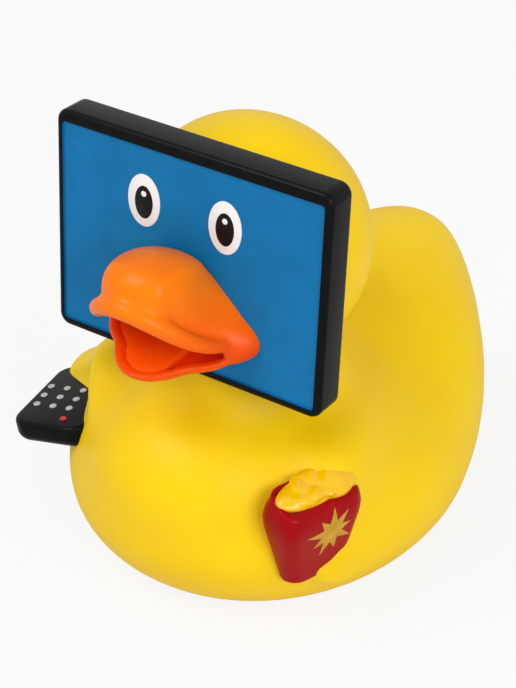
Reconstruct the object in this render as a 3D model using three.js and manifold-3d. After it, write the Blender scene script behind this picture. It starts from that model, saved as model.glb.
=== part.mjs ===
// A rubber duck with a flat television for a face, moulded as one hollow piece of soft vinyl.
// The body, head, screen, bill, remote control and snack bag are a single skin, painted by hand.
// Millimetres. The duck stands on z = 0, looks along -y, and its left side is +x.
import * as THREE from 'three';
import { mergeVertices } from 'three/addons/utils/BufferGeometryUtils.js';
import Module from 'manifold-3d';

const wasm = await Module();
wasm.setup();

// The vinyl skin and the air hole that lets it be squeezed
const WALL = 2.2;
const AIR_HOLE = 3.6;
const AIR_HOLE_BACK = 12;

// The hull, the wide boat-shaped lower body
const HULL_WIDTH = 70.4;
const HULL_LENGTH = 83;
const HULL_HEIGHT = 44.2;
const HULL_MIDDLE = 15.2;
const HULL_BACK = 0.5;
const BASE_EDGE = 6;
const BASE_TRIM = 0.3;

// The breast, a rounder bulge under the bill
const BREAST_WIDTH = 43;
const BREAST_LENGTH = 38.6;
const BREAST_HEIGHT = 34;
const BREAST_MIDDLE = 21.2;
const BREAST_AHEAD = 22.1;
const BREAST_BLEND = 7;

// The rump and the upswept tail behind it
const RUMP_WIDTH = 56;
const RUMP_LENGTH = 53.4;
const RUMP_HEIGHT = 36.2;
const RUMP_MIDDLE = 22.9;
const RUMP_BACK = 21.7;
const RUMP_LIFT = 27;
const RUMP_BLEND = 9;
const TAIL_WIDTH = 24.4;
const TAIL_LENGTH = 32.8;
const TAIL_THICKNESS = 13.4;
const TAIL_MIDDLE = 29.6;
const TAIL_BACK = 40.1;
const TAIL_LIFT = 42;
const TAIL_BLEND = 14;

// The wings, held close to the flanks with their tips forward
const WING_SPREAD = 37.1;
const WING_BACK = -9.6;
const WING_MIDDLE = 27.9;
const WING_WIDTH = 18.2;
const WING_LENGTH = 39.2;
const WING_HEIGHT = 19.8;
const WING_TOE_IN = 22.7;
const WING_BLEND = 6;

// The neck and the round head
const NECK_WIDTH = 30.2;
const NECK_HEIGHT = 26;
const NECK_MIDDLE = 43.4;
const NECK_BLEND = 10;
const HEAD_WIDTH = 42.7;
const HEAD_LENGTH = 39.8;
const HEAD_HEIGHT = 42.3;
const HEAD_MIDDLE = 62.1;
const HEAD_AHEAD = 11;
const HEAD_BLEND = 7;

// The television that the head wears as a face
const SCREEN_WIDTH = 50;
const SCREEN_HEIGHT = 36.7;
const SCREEN_CORNER = 0.6;
const RIM_SIDE = 1.3;
const RIM_TOP = 2;
const RIM_BOTTOM = 1.6;
const RIM_HEIGHT = 0.3;
const PANEL_DEPTH = 5.8;
const PANEL_CORNER = 2.2;
const PANEL_EDGE = 0.9;
const PANEL_AHEAD = 18.3;
const PANEL_ABOVE_HEAD = 2.4;

// The eyes, printed on the screen
const PAINT = 0.06;
const EYE_WIDTH = 6.3;
const EYE_HEIGHT = 9.3;
const EYE_SPACING = 15.7;
const EYE_UP = 8.8;
const PUPIL_WIDTH = 3.5;
const PUPIL_HEIGHT = 5.8;
const PUPIL_DOWN = 0.3;
const GLINT = 1;
const GLINT_UP = 1.2;
const FACE_ASIDE = -0.9;

// The open bill
const NOSE_WIDTH = 12.3;
const NOSE_LENGTH = 17.8;
const NOSE_HEIGHT = 9.6;
const NOSE_AHEAD = 7.8;
const NOSE_DOWN = 0.3;
const NOSE_TIP_UP = 10.5;
const NOSE_SQUARENESS = 3;
const BRIM_WIDTH = 18.4;
const BRIM_LENGTH = 25.6;
const BRIM_HEIGHT = 9;
const BRIM_AHEAD = 3.4;
const BRIM_DOWN = 6.6;
const BRIM_TIP_UP = 25;
const BRIM_BLEND = 4;
const CHEEK_WIDTH = 30.6;
const CHEEK_LENGTH = 14.3;
const CHEEK_HEIGHT = 7.6;
const CHEEK_DOWN = 10;
const CHEEK_SQUARENESS = 2.6;
const CHEEK_BLEND = 8;
const BILL_ROOT = 4;
const LIP_WIDTH = 23.2;
const LIP_REACH = 16.2;
const LIP_CORNER_DOWN = 10.3;
const LIP_TIP_DOWN = 1.1;
const LIP_THICKNESS = 3.3;
const LIP_CORNER_THICKNESS = 1.6;
const LIP_CURL = 2.3;
const LIP_BLUNTNESS = 0.93;
const LIP_ROOT = 1;
const LIP_STATIONS = 21;
const LIP_FACETS = 8;
const GAPE_STEPS = 10;
const JAW_WIDTH = 24.4;
const JAW_REACH = 11.9;
const JAW_DOWN = 11.2;
const JAW_TIP_DROP = 2.2;
const JAW_DEPTH = 4;
const JAW_RIM = 1.3;
const JAW_BACK = 2;
const JAW_FACETS = 28;
const TONGUE_WIDTH = 12.5;
const TONGUE_LENGTH = 16;
const TONGUE_HEIGHT = 2.6;

// The snack bag under the left wing tip, on its bearing from straight ahead
const BAG_BEARING = 42.3;
const BAG_STANDOFF = -0.6;
const BAG_TOP = 29.7;
const BAG_FACING = 74;
const BAG_WIDTH = 16.6;
const BAG_DEPTH = 7.8;
const BAG_HEIGHT = 16.8;
const BAG_SQUARENESS = 3.6;
const BAG_FOOT_WIDTH = 13.4;
const BAG_FOOT_DEPTH = 5;
const BAG_FOOT_ASIDE = 1.5;
const BAG_FOOT_BACK = 0.5;
const BAG_FACETS = 24;
const BAG_EDGE = 0.6;
const BAG_RIM = 0.7;
const BAG_MOUTH = 1.2;
const CRISPS = 7;
const CRISP_LENGTH = 5.4;
const CRISP_WIDTH = 4;
const CRISP_THICKNESS = 2.6;
const CRISPS_REACH = 4.8;
const CRISPS_SWING = 0.9;
const CRISP_TURN = 35;
const STAR_RADIUS = 4.9;
const STAR_WAIST = 2.1;
const STAR_POINTS = 9;
const STAR_UNEVEN = 0.8;
const STAR_ASIDE = 1.5;
const STAR_DOWN = 6.8;

// The three feathers of the left wing's tip, folded over the foot of the bag
const FEATHER_LENGTH = 13;
const FEATHER_WIDTH = 5.6;
const FEATHER_THICKNESS = 6;
const FEATHER_STEP_ACROSS = 3.4;
const FEATHER_STEP_DOWN = 2.7;
const FEATHER_SLOPE = 33;
const FEATHER_BLEND = 1.2;
const HAND_ACROSS = 7.5;
const HAND_DOWN = 15.2;
const HAND_DEEP = -0.3;
const HAND_SINK = 0.7;
const HAND_BLEND = 5;

// The remote control in the right wing, on its bearing from straight ahead
const REMOTE_BEARING = 50.95;
const REMOTE_STANDOFF = -0.5;
const REMOTE_TOP = 24.9;
const REMOTE_YAW = 8;
const REMOTE_ROLL = 10;
const REMOTE_PITCH = 3;
const REMOTE_WIDTH = 15;
const REMOTE_LENGTH = 19;
const REMOTE_THICKNESS = 4.8;
const REMOTE_SQUARENESS = 5;
const REMOTE_FACETS = 24;
const REMOTE_EDGE = 1.3;
const KEY_WIDTH = 1.2;
const KEY_RAISE = 0.12;
const KEY_FACETS = 8;
const KEY_ROWS = 3;
const KEY_COLUMNS = 3;
const KEY_PITCH_ALONG = 3;
const KEY_PITCH_ACROSS = 3.4;
const KEYS_ASIDE = 1.8;
const KEYS_BACK = -0.3;
const RED_KEY_ASIDE = 2.4;
const RED_KEY_BACK = -6.8;

// The wing's wrist behind the remote, and the round hollow in it that bares the keys
const WRIST_WIDTH = 12;
const WRIST_LENGTH = 16;
const WRIST_ASIDE = 1.6;
const WRIST_BACK = 12;
const WRIST_DOWN = 2.9;
const WRIST_BLEND = 5;
const ROOM_RADIUS = 17.7;
const ROOM_ASIDE = 10.2;
const ROOM_AHEAD = 9.2;
const ROOM_SINK = 0.8;
const ROOM_BLEND = 2;

// The spacing of the facets on each moulded skin
const SKIN_FACET = 3.8;
const HOLLOW_FACET = 5.6;
const BILL_FACET = 2;
const HAND_FACET = 2;

const yellow = new THREE.MeshStandardMaterial({ color: 0xf3cf28, roughness: 0.42, metalness: 0 });
const black = new THREE.MeshStandardMaterial({ color: 0x2b2a2b, roughness: 0.3, metalness: 0 });
const blue = new THREE.MeshStandardMaterial({ color: 0x2a79b4, roughness: 0.4, metalness: 0 });
const white = new THREE.MeshStandardMaterial({ color: 0xf1f1ee, roughness: 0.4, metalness: 0 });
const orange = new THREE.MeshStandardMaterial({ color: 0xff7410, roughness: 0.35, metalness: 0 });
const mouthRed = new THREE.MeshStandardMaterial({ color: 0xf0430f, roughness: 0.4, metalness: 0 });
const red = new THREE.MeshStandardMaterial({ color: 0xb01c22, roughness: 0.32, metalness: 0 });
const gold = new THREE.MeshStandardMaterial({ color: 0xd0a83a, roughness: 0.45, metalness: 0 });
const crispYellow = new THREE.MeshStandardMaterial({ color: 0xf6c518, roughness: 0.2, metalness: 0 });
const grey = new THREE.MeshStandardMaterial({ color: 0xb9babb, roughness: 0.45, metalness: 0 });
const keyRed = new THREE.MeshStandardMaterial({ color: 0xc02a30, roughness: 0.4, metalness: 0 });

const radians = THREE.MathUtils.degToRad;

// A ball stretched to the given full sizes, and boxier than an ellipsoid where its squareness is over 2,
// as a distance that is negative inside it.
function ball(centre, sizes, lift = 0, yaw = 0, squareness = 2) {
  const turn = new THREE.Matrix4().makeRotationZ(radians(yaw));
  turn.multiply(new THREE.Matrix4().makeRotationX(radians(lift)));
  const toBall = turn.setPosition(...centre).invert().elements;
  const [a, b, c] = sizes.map((size) => size / 2);
  return (x, y, z) => {
    const u = Math.abs(toBall[0] * x + toBall[4] * y + toBall[8] * z + toBall[12]) / a;
    const v = Math.abs(toBall[1] * x + toBall[5] * y + toBall[9] * z + toBall[13]) / b;
    const w = Math.abs(toBall[2] * x + toBall[6] * y + toBall[10] * z + toBall[14]) / c;
    const reach = (u ** squareness + v ** squareness + w ** squareness) ** (1 / squareness);
    if (reach === 0) return -Math.min(a, b, c);
    const power = squareness - 1;
    const slope = Math.hypot(u ** power / a, v ** power / b, w ** power / c) / reach ** power;
    return (reach - 1) / slope;
  };
}

// The lower of two distances, with the corner between them filled over the given width.
function blend(first, second, width) {
  const fill = Math.max(width - Math.abs(first - second), 0) / width;
  return Math.min(first, second) - (fill * fill * width) / 4;
}

// The skin where a distance field is zero, as quads of about one facet between two corners of space.
function skinOf(field, low, high, facet) {
  const counts = high.map((top, axis) => Math.ceil((top - low[axis]) / facet) + 1);
  const [nx, ny, nz] = counts;
  const steps = [1, nx, nx * ny];
  const place = (axis, index) => low[axis] + index * facet;
  const samples = new Float64Array(nx * ny * nz);
  for (let k = 0; k < nz; k += 1) {
    for (let j = 0; j < ny; j += 1) {
      for (let i = 0; i < nx; i += 1) {
        samples[i + j * nx + k * nx * ny] = field(place(0, i), place(1, j), place(2, k));
      }
    }
  }
  const corners = [0, 1, 2, 3, 4, 5, 6, 7].map((bits) => [bits & 1, (bits >> 1) & 1, bits >> 2]);
  const edges = [];
  corners.forEach((start, from) => {
    start.forEach((bit, axis) => {
      if (bit === 0) edges.push([from, from + (1 << axis), axis]);
    });
  });
  const positions = [];
  const pointOf = new Map();
  const settle = (point) => {
    const nudge = facet / 100;
    for (let pass = 0; pass < 3; pass += 1) {
      const value = field(...point);
      const gradient = [0, 1, 2].map((axis) => {
        const ahead = [...point];
        ahead[axis] += nudge;
        return (field(...ahead) - value) / nudge;
      });
      const steepness = gradient.reduce((sum, g) => sum + g * g, 0);
      const move = THREE.MathUtils.clamp(value / steepness, -facet / 4, facet / 4);
      point.forEach((_, axis) => { point[axis] -= move * gradient[axis]; });
    }
    return point;
  };
  for (let k = 0; k < nz - 1; k += 1) {
    for (let j = 0; j < ny - 1; j += 1) {
      for (let i = 0; i < nx - 1; i += 1) {
        const cell = i + j * nx + k * nx * ny;
        const values = corners.map(([a, b, c]) => samples[cell + a * steps[0] + b * steps[1] + c * steps[2]]);
        const crossed = edges.filter(([from, to]) => values[from] < 0 !== values[to] < 0);
        if (crossed.length === 0) continue;
        const point = [0, 0, 0];
        crossed.forEach(([from, to, axis]) => {
          const share = values[from] / (values[from] - values[to]);
          corners[from].forEach((bit, a) => {
            point[a] += (bit + (a === axis ? share : 0)) / crossed.length;
          });
        });
        const start = [place(0, i), place(1, j), place(2, k)];
        pointOf.set(cell, positions.length / 3);
        positions.push(...settle(point.map((value, axis) => start[axis] + value * facet)));
      }
    }
  }
  const gap = (a, b) => Math.hypot(
    positions[3 * a] - positions[3 * b],
    positions[3 * a + 1] - positions[3 * b + 1],
    positions[3 * a + 2] - positions[3 * b + 2],
  );
  const triangles = [];
  for (let k = 1; k < nz - 1; k += 1) {
    for (let j = 1; j < ny - 1; j += 1) {
      for (let i = 1; i < nx - 1; i += 1) {
        const cell = i + j * nx + k * nx * ny;
        for (let axis = 0; axis < 3; axis += 1) {
          const inside = samples[cell] < 0;
          if (inside === samples[cell + steps[axis]] < 0) continue;
          const across = steps[(axis + 1) % 3];
          const up = steps[(axis + 2) % 3];
          const ring = [cell - across - up, cell - up, cell, cell - across].map((c) => pointOf.get(c));
          if (!inside) ring.reverse();
          const [p, q, r, s] = ring;
          if (gap(p, r) <= gap(q, s)) triangles.push(p, q, r, p, r, s);
          else triangles.push(p, q, s, q, r, s);
        }
      }
    }
  }
  const geometry = new THREE.BufferGeometry();
  geometry.setAttribute('position', new THREE.Float32BufferAttribute(positions, 3));
  geometry.setIndex(triangles);
  return geometry;
}

// A closed skin through rings of equally many points, each end closed to its middle.
function loft(rings) {
  const count = rings[0].length;
  const middle = (ring) => ring.reduce((sum, p) => sum.add(p), new THREE.Vector3()).divideScalar(count);
  const points = [...rings.flat(), middle(rings[0]), middle(rings.at(-1))];
  const first = rings.length * count;
  const triangles = [];
  for (let i = 0; i < count; i += 1) {
    const next = (i + 1) % count;
    triangles.push(first, next, i);
    for (let level = 0; level < rings.length - 1; level += 1) {
      const low = level * count;
      const high = low + count;
      triangles.push(low + i, low + next, high + next, low + i, high + next, high + i);
    }
    const last = first - count;
    triangles.push(first + 1, last + i, last + next);
  }
  const geometry = new THREE.BufferGeometry().setFromPoints(points);
  geometry.setIndex(triangles);
  return geometry;
}

// A rounded outline between an ellipse (squareness 2) and a rectangle (squareness 8 or more).
function roundedOutline(halfWidth, halfDepth, squareness, count) {
  return Array.from({ length: count }, (_, i) => {
    const angle = (2 * Math.PI * (i + 0.5)) / count;
    const c = Math.cos(angle);
    const s = Math.sin(angle);
    return [
      halfWidth * Math.sign(c) * Math.abs(c) ** (2 / squareness),
      halfDepth * Math.sign(s) * Math.abs(s) ** (2 / squareness),
    ];
  });
}

// Turns a closed geometry into a solid that remembers its paint.
const paintOf = new Map();
function solid(geometry, paint) {
  const bare = geometry.clone();
  bare.deleteAttribute('normal');
  bare.deleteAttribute('uv');
  const merged = mergeVertices(bare, 1e-4);
  const triVerts = new Uint32Array(merged.index.array);
  const id = wasm.Manifold.reserveIDs(1);
  paintOf.set(id, paint);
  return new wasm.Manifold(new wasm.Mesh({
    numProp: 3,
    vertProperties: merged.attributes.position.array,
    triVerts,
    runIndex: new Uint32Array([0, triVerts.length]),
    runOriginalID: new Uint32Array([id]),
  }));
}

function block(low, high, paint) {
  const size = high.map((value, axis) => value - low[axis]);
  const centre = high.map((value, axis) => (value + low[axis]) / 2);
  return solid(new THREE.BoxGeometry(...size).translate(...centre), paint);
}

// The moulded form of body, wings, neck and head
const headCentre = [0, -HEAD_AHEAD, HEAD_MIDDLE];
const forms = {
  hull: ball([0, HULL_BACK, HULL_MIDDLE], [HULL_WIDTH, HULL_LENGTH, HULL_HEIGHT]),
  breast: ball([0, -BREAST_AHEAD, BREAST_MIDDLE], [BREAST_WIDTH, BREAST_LENGTH, BREAST_HEIGHT]),
  rump: ball([0, RUMP_BACK, RUMP_MIDDLE], [RUMP_WIDTH, RUMP_LENGTH, RUMP_HEIGHT], RUMP_LIFT),
  tail: ball([0, TAIL_BACK, TAIL_MIDDLE], [TAIL_WIDTH, TAIL_LENGTH, TAIL_THICKNESS], TAIL_LIFT),
  wing: ball(
    [WING_SPREAD / 2, WING_BACK, WING_MIDDLE],
    [WING_WIDTH, WING_LENGTH, WING_HEIGHT],
    0,
    WING_TOE_IN,
  ),
  neck: ball([0, -HEAD_AHEAD, NECK_MIDDLE], [NECK_WIDTH, NECK_WIDTH, NECK_HEIGHT]),
  head: ball(headCentre, [HEAD_WIDTH, HEAD_LENGTH, HEAD_HEIGHT]),
};

function plumpField(x, y, z) {
  let distance = blend(forms.hull(x, y, z), forms.breast(x, y, z), BREAST_BLEND);
  distance = blend(distance, forms.rump(x, y, z), RUMP_BLEND);
  distance = blend(distance, forms.tail(x, y, z), TAIL_BLEND);
  distance = blend(distance, forms.wing(Math.abs(x), y, z), WING_BLEND);
  distance = blend(distance, forms.neck(x, y, z), NECK_BLEND);
  distance = blend(distance, forms.head(x, y, z), HEAD_BLEND);
  return -blend(-distance, z + BASE_TRIM, BASE_EDGE);
}

const clearance = 2 * SKIN_FACET;
const reachSide = Math.max(HULL_WIDTH, RUMP_WIDTH, HEAD_WIDTH, WING_SPREAD + WING_WIDTH) / 2 + clearance;
const reachFront = clearance + Math.max(
  HULL_LENGTH / 2,
  BREAST_AHEAD + BREAST_LENGTH / 2,
  HEAD_AHEAD + HEAD_LENGTH / 2,
);
const reachBack = TAIL_BACK + TAIL_LENGTH / 2 + clearance;
const reachTop = HEAD_MIDDLE + HEAD_HEIGHT / 2 + clearance;
const fieldLow = [-reachSide, -reachFront, -BASE_TRIM - clearance];
const fieldHigh = [reachSide, reachBack, reachTop];

// How far out the skin lies at a height, on a bearing from straight ahead.
function skinReach(bearing, height) {
  const x = Math.sin(radians(bearing));
  const y = -Math.cos(radians(bearing));
  let near = 0;
  let far = reachSide + reachFront;
  while (far - near > PAINT / 10) {
    const half = (near + far) / 2;
    if (plumpField(x * half, y * half, height) < 0) near = half;
    else far = half;
  }
  return near;
}

// The remote rests in the right wing, which closes over its back and its inner side.
const remoteReach = skinReach(REMOTE_BEARING, REMOTE_TOP - REMOTE_THICKNESS / 2) + REMOTE_STANDOFF;
const remoteTurn = new THREE.Euler(radians(REMOTE_PITCH), -radians(REMOTE_ROLL), radians(REMOTE_YAW), 'ZXY');
const remotePlace = new THREE.Matrix4()
  .makeRotationFromEuler(remoteTurn)
  .setPosition(
    -remoteReach * Math.sin(radians(REMOTE_BEARING)),
    -remoteReach * Math.cos(radians(REMOTE_BEARING)),
    REMOTE_TOP,
  );

const toRemote = remotePlace.clone().invert();
const wristMiddle = new THREE.Vector3(-WRIST_ASIDE, WRIST_BACK, -WRIST_DOWN).applyMatrix4(remotePlace);
const wrist = ball(wristMiddle.toArray(), [WRIST_WIDTH, WRIST_LENGTH, WRIST_WIDTH], 0, REMOTE_YAW);
const bodyField = (x, y, z) => {
  const spot = new THREE.Vector3(x, y, z).applyMatrix4(toRemote);
  const aside = Math.hypot(spot.x + ROOM_ASIDE, spot.y + ROOM_AHEAD) - ROOM_RADIUS;
  const room = -blend(-aside, spot.z + ROOM_SINK, ROOM_BLEND);
  return -blend(-blend(plumpField(x, y, z), wrist(x, y, z), WRIST_BLEND), room, ROOM_BLEND);
};
const skin = solid(skinOf(bodyField, fieldLow, fieldHigh, SKIN_FACET), yellow);
const hollowField = (x, y, z) => bodyField(x, y, z) + WALL;
const hollow = solid(skinOf(hollowField, fieldLow, fieldHigh, HOLLOW_FACET), yellow);

// The television panel
const screenMiddle = HEAD_MIDDLE + PANEL_ABOVE_HEAD;
const panelFront = -HEAD_AHEAD - PANEL_AHEAD;
const panelBack = panelFront + PANEL_DEPTH;
const panelWidth = SCREEN_WIDTH + 2 * RIM_SIDE;
const panelTop = screenMiddle + SCREEN_HEIGHT / 2 + RIM_TOP;
const panelBottom = screenMiddle - SCREEN_HEIGHT / 2 - RIM_BOTTOM;

function roundedSlab(width, height, corner, depth, edge) {
  const w = width / 2 - edge;
  const h = height / 2 - edge;
  const r = corner - edge;
  const shape = new THREE.Shape();
  shape.absarc(w - r, h - r, r, 0, Math.PI / 2);
  shape.absarc(r - w, h - r, r, Math.PI / 2, Math.PI);
  shape.absarc(r - w, r - h, r, Math.PI, 1.5 * Math.PI);
  shape.absarc(w - r, r - h, r, 1.5 * Math.PI, 2 * Math.PI);
  return new THREE.ExtrudeGeometry(shape, {
    depth: depth - 2 * edge,
    bevelEnabled: edge > 0,
    bevelThickness: edge,
    bevelSize: edge,
    bevelSegments: 3,
    curveSegments: 4,
  }).translate(0, 0, edge);
}

const standUp = Math.PI / 2;
const panelBody = solid(
  roundedSlab(panelWidth, panelTop - panelBottom, PANEL_CORNER, PANEL_DEPTH, PANEL_EDGE)
    .rotateX(standUp)
    .translate(0, panelBack, (panelTop + panelBottom) / 2),
  black,
);
const screenPocket = solid(
  roundedSlab(SCREEN_WIDTH, SCREEN_HEIGHT, SCREEN_CORNER, 2 * RIM_HEIGHT, 0)
    .rotateX(standUp)
    .translate(0, panelFront + RIM_HEIGHT, screenMiddle),
  blue,
);
const panel = panelBody.subtract(screenPocket);
const screenFace = panelFront + RIM_HEIGHT;

// A flat spot of paint standing a hair proud of the screen
function screenSpot(width, height, x, z, layers, paint, count) {
  const spot = new THREE.CylinderGeometry(0.5, 0.5, (layers + 1) * PAINT, count);
  return solid(spot.scale(width, 1, height).translate(x, screenFace - ((layers - 1) * PAINT) / 2, z), paint);
}

const eyes = [-1, 1].flatMap((side) => {
  const x = FACE_ASIDE + (side * EYE_SPACING) / 2;
  const z = screenMiddle + EYE_UP;
  return [
    screenSpot(EYE_WIDTH, EYE_HEIGHT, x, z, 1, white, 24),
    screenSpot(PUPIL_WIDTH, PUPIL_HEIGHT, x, z - PUPIL_DOWN, 2, black, 24),
    screenSpot(GLINT, GLINT, x, z + GLINT_UP, 3, white, 8),
  ];
});

// The bill, with its lip rising to the tip and its mouth open
const fromMouth = (x, y, z) => [FACE_ASIDE + x, panelFront + y, screenMiddle + z];
const nose = ball(
  fromMouth(0, -NOSE_AHEAD, -NOSE_DOWN),
  [NOSE_WIDTH, NOSE_LENGTH, NOSE_HEIGHT],
  -NOSE_TIP_UP,
  0,
  NOSE_SQUARENESS,
);
const brim = ball(
  fromMouth(0, -BRIM_AHEAD, -BRIM_DOWN),
  [BRIM_WIDTH, BRIM_LENGTH, BRIM_HEIGHT],
  -BRIM_TIP_UP,
);
const cheeks = ball(
  fromMouth(0, 1, -CHEEK_DOWN),
  [CHEEK_WIDTH, CHEEK_LENGTH, CHEEK_HEIGHT],
  0,
  0,
  CHEEK_SQUARENESS,
);

// The height of the lip line at a share of the way from the corner (0) to the tip (1)
function lipLine(share) {
  return screenMiddle - LIP_CORNER_DOWN + (LIP_CORNER_DOWN - LIP_TIP_DOWN) * share ** LIP_CURL;
}

const billField = (x, y, z) => {
  const dome = blend(nose(x, y, z), brim(x, y, z), BRIM_BLEND);
  return Math.max(blend(dome, cheeks(x, y, z), CHEEK_BLEND), y - panelFront - BILL_ROOT);
};

const billRoom = 2 * BILL_FACET;
const billLow = fromMouth(
  -CHEEK_WIDTH / 2 - billRoom,
  -NOSE_AHEAD - NOSE_LENGTH / 2 - billRoom,
  -BRIM_DOWN - BRIM_LENGTH / 2 - billRoom,
);
const billHigh = fromMouth(CHEEK_WIDTH / 2 + billRoom, BILL_ROOT + billRoom, BRIM_LENGTH / 2);
const billMass = solid(skinOf(billField, billLow, billHigh, BILL_FACET), orange);

// The gape: everything under the lip line, between the mouth's corners
const gapeFront = LIP_REACH + LIP_THICKNESS;
const gapeFloor = screenMiddle - JAW_DOWN - JAW_TIP_DROP - JAW_DEPTH;
const gapeShape = new THREE.Shape([
  ...Array.from({ length: GAPE_STEPS + 1 }, (_, i) => {
    const share = i / GAPE_STEPS;
    return new THREE.Vector2(share * LIP_REACH, lipLine(share));
  }),
  new THREE.Vector2(gapeFront, lipLine(1)),
  new THREE.Vector2(gapeFront, gapeFloor),
  new THREE.Vector2(0, gapeFloor),
]);
const gapeWidth = LIP_WIDTH - LIP_CORNER_THICKNESS;
const gapePlace = new THREE.Matrix4().makeBasis(
  new THREE.Vector3(0, -1, 0),
  new THREE.Vector3(0, 0, 1),
  new THREE.Vector3(-1, 0, 0),
).setPosition(FACE_ASIDE + gapeWidth / 2, panelFront, 0);
const gape = solid(
  new THREE.ExtrudeGeometry(gapeShape, { depth: gapeWidth, bevelEnabled: false })
    .applyMatrix4(gapePlace),
  mouthRed,
);
const upperBill = billMass.subtract(gape);

const lipRings = Array.from({ length: LIP_STATIONS }, (_, station) => {
  const angle = (Math.PI * station) / (LIP_STATIONS - 1);
  const along = Math.sin(angle);
  const x = (LIP_WIDTH / 2) * Math.cos(angle);
  const y = LIP_ROOT - (LIP_REACH + LIP_ROOT) * along ** LIP_BLUNTNESS;
  const outward = new THREE.Vector3(Math.cos(angle) / LIP_WIDTH, -along / LIP_REACH, 0).normalize();
  const thickness = THREE.MathUtils.lerp(LIP_CORNER_THICKNESS, LIP_THICKNESS, along);
  const centre = new THREE.Vector3(...fromMouth(x, y, 0)).setZ(lipLine(along));
  return Array.from({ length: LIP_FACETS }, (__, i) => {
    const turn = (2 * Math.PI * i) / LIP_FACETS;
    return centre.clone()
      .addScaledVector(outward, (thickness / 2) * Math.cos(turn))
      .add(new THREE.Vector3(0, 0, (thickness / 2) * Math.sin(turn)));
  });
});
const lip = solid(loft(lipRings), orange);

// One level of the jaw's bowl: it dips to the tip, and runs back into the panel.
function jawRing(scale, drop) {
  return Array.from({ length: JAW_FACETS }, (_, i) => {
    const angle = (2 * Math.PI * i) / JAW_FACETS;
    const along = Math.sin(angle);
    const x = (JAW_WIDTH / 2) * scale * Math.cos(angle);
    const y = along > 0 ? -JAW_REACH * scale * along : -JAW_BACK * along;
    const z = -JAW_DOWN - drop - JAW_TIP_DROP * Math.max(along, 0) ** 2;
    return new THREE.Vector3(...fromMouth(x, y, z));
  }).reverse();
}

const jawOutside = solid(loft([
  jawRing(0.3, JAW_DEPTH),
  jawRing(0.72, 0.9 * JAW_DEPTH),
  jawRing(0.92, 0.62 * JAW_DEPTH),
  jawRing(1, 0.25 * JAW_DEPTH),
  jawRing(0.99, 0),
]), orange);
const rimShare = 1 - (2 * JAW_RIM) / JAW_WIDTH;
const jawInside = solid(loft([
  jawRing(0.5 * rimShare, 0.55 * JAW_DEPTH),
  jawRing(0.86 * rimShare, 0.4 * JAW_DEPTH),
  jawRing(rimShare, 0.05 * JAW_DEPTH),
  jawRing(rimShare, -1),
]), mouthRed);
const tongue = solid(
  new THREE.SphereGeometry(0.5, 16, 10)
    .scale(TONGUE_WIDTH, TONGUE_LENGTH, TONGUE_HEIGHT)
    .translate(...fromMouth(0, -1, -JAW_DOWN - 0.55 * JAW_DEPTH)),
  mouthRed,
);
const jaw = jawOutside.subtract(jawInside).add(tongue);

// Cuts away what reaches through the panel, so that its back stays plain.
const behindPanel = block(
  [-reachSide, panelFront + PANEL_DEPTH / 2, panelBottom - JAW_DEPTH],
  [reachSide, panelFront + PANEL_DEPTH / 2 + CHEEK_LENGTH, panelTop],
  orange,
);
const bill = upperBill.add(lip).add(jaw).subtract(behindPanel);

// The snack bag: a pouch that narrows to its foot, open at the top, with crisps heaped in it
const bagReach = skinReach(BAG_BEARING, BAG_TOP - BAG_HEIGHT / 2) + BAG_STANDOFF;
const bagPlace = new THREE.Matrix4()
  .makeRotationZ(radians(BAG_FACING))
  .setPosition(
    bagReach * Math.sin(radians(BAG_BEARING)),
    -bagReach * Math.cos(radians(BAG_BEARING)),
    BAG_TOP,
  );

// One level of the bag at a share of the way from its foot (0) to its top (1): the sides swell as they rise.
function bagRing(share, inset, coat) {
  const swell = 1 - (1 - share) ** 2;
  const width = THREE.MathUtils.lerp(BAG_FOOT_WIDTH, BAG_WIDTH, swell) - 2 * inset;
  const depth = THREE.MathUtils.lerp(BAG_FOOT_DEPTH, BAG_DEPTH, swell) - 2 * inset + 2 * coat;
  return roundedOutline(width / 2, depth / 2, BAG_SQUARENESS, BAG_FACETS).map(([x, y]) => new THREE.Vector3(
    x + BAG_FOOT_ASIDE * (1 - swell),
    y + BAG_FOOT_BACK * (1 - swell),
    (share - 1) * BAG_HEIGHT,
  ).applyMatrix4(bagPlace));
}

// The whole bag, with a coat of paint of the given thickness
function bagSolid(coat, paint) {
  const edge = BAG_EDGE / BAG_HEIGHT;
  return solid(loft([
    bagRing(0, 2 * BAG_EDGE, coat),
    bagRing(edge, BAG_EDGE / 2, coat),
    bagRing(3 * edge, 0, coat),
    bagRing(0.5, 0, coat),
    bagRing(1 - 3 * edge, 0, coat),
    bagRing(1 - edge, BAG_EDGE / 3, coat),
    bagRing(1, BAG_EDGE, coat),
  ]), paint);
}

const mouthShare = BAG_MOUTH / BAG_HEIGHT;
const bagMouth = solid(loft([
  bagRing(1 - mouthShare, BAG_RIM + BAG_EDGE, 0),
  bagRing(1 + mouthShare, BAG_RIM + BAG_EDGE, 0),
]), red);

// The heap of crisps, turned this way and that along the mouth of the bag
const crisps = Array.from({ length: CRISPS }, (_, i) => {
  const side = i % 2 === 0 ? 1 : -1;
  const across = -CRISPS_REACH + (2 * CRISPS_REACH * i) / (CRISPS - 1);
  return solid(
    new THREE.SphereGeometry(0.5, 8, 6)
      .scale(CRISP_LENGTH, CRISP_WIDTH, CRISP_THICKNESS)
      .rotateX(radians((side * CRISP_TURN) / 2))
      .rotateZ(radians(side * CRISP_TURN))
      .translate(across, -side * CRISPS_SWING, CRISP_THICKNESS / 2 - BAG_MOUTH)
      .applyMatrix4(bagPlace),
    crispYellow,
  );
});

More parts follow.
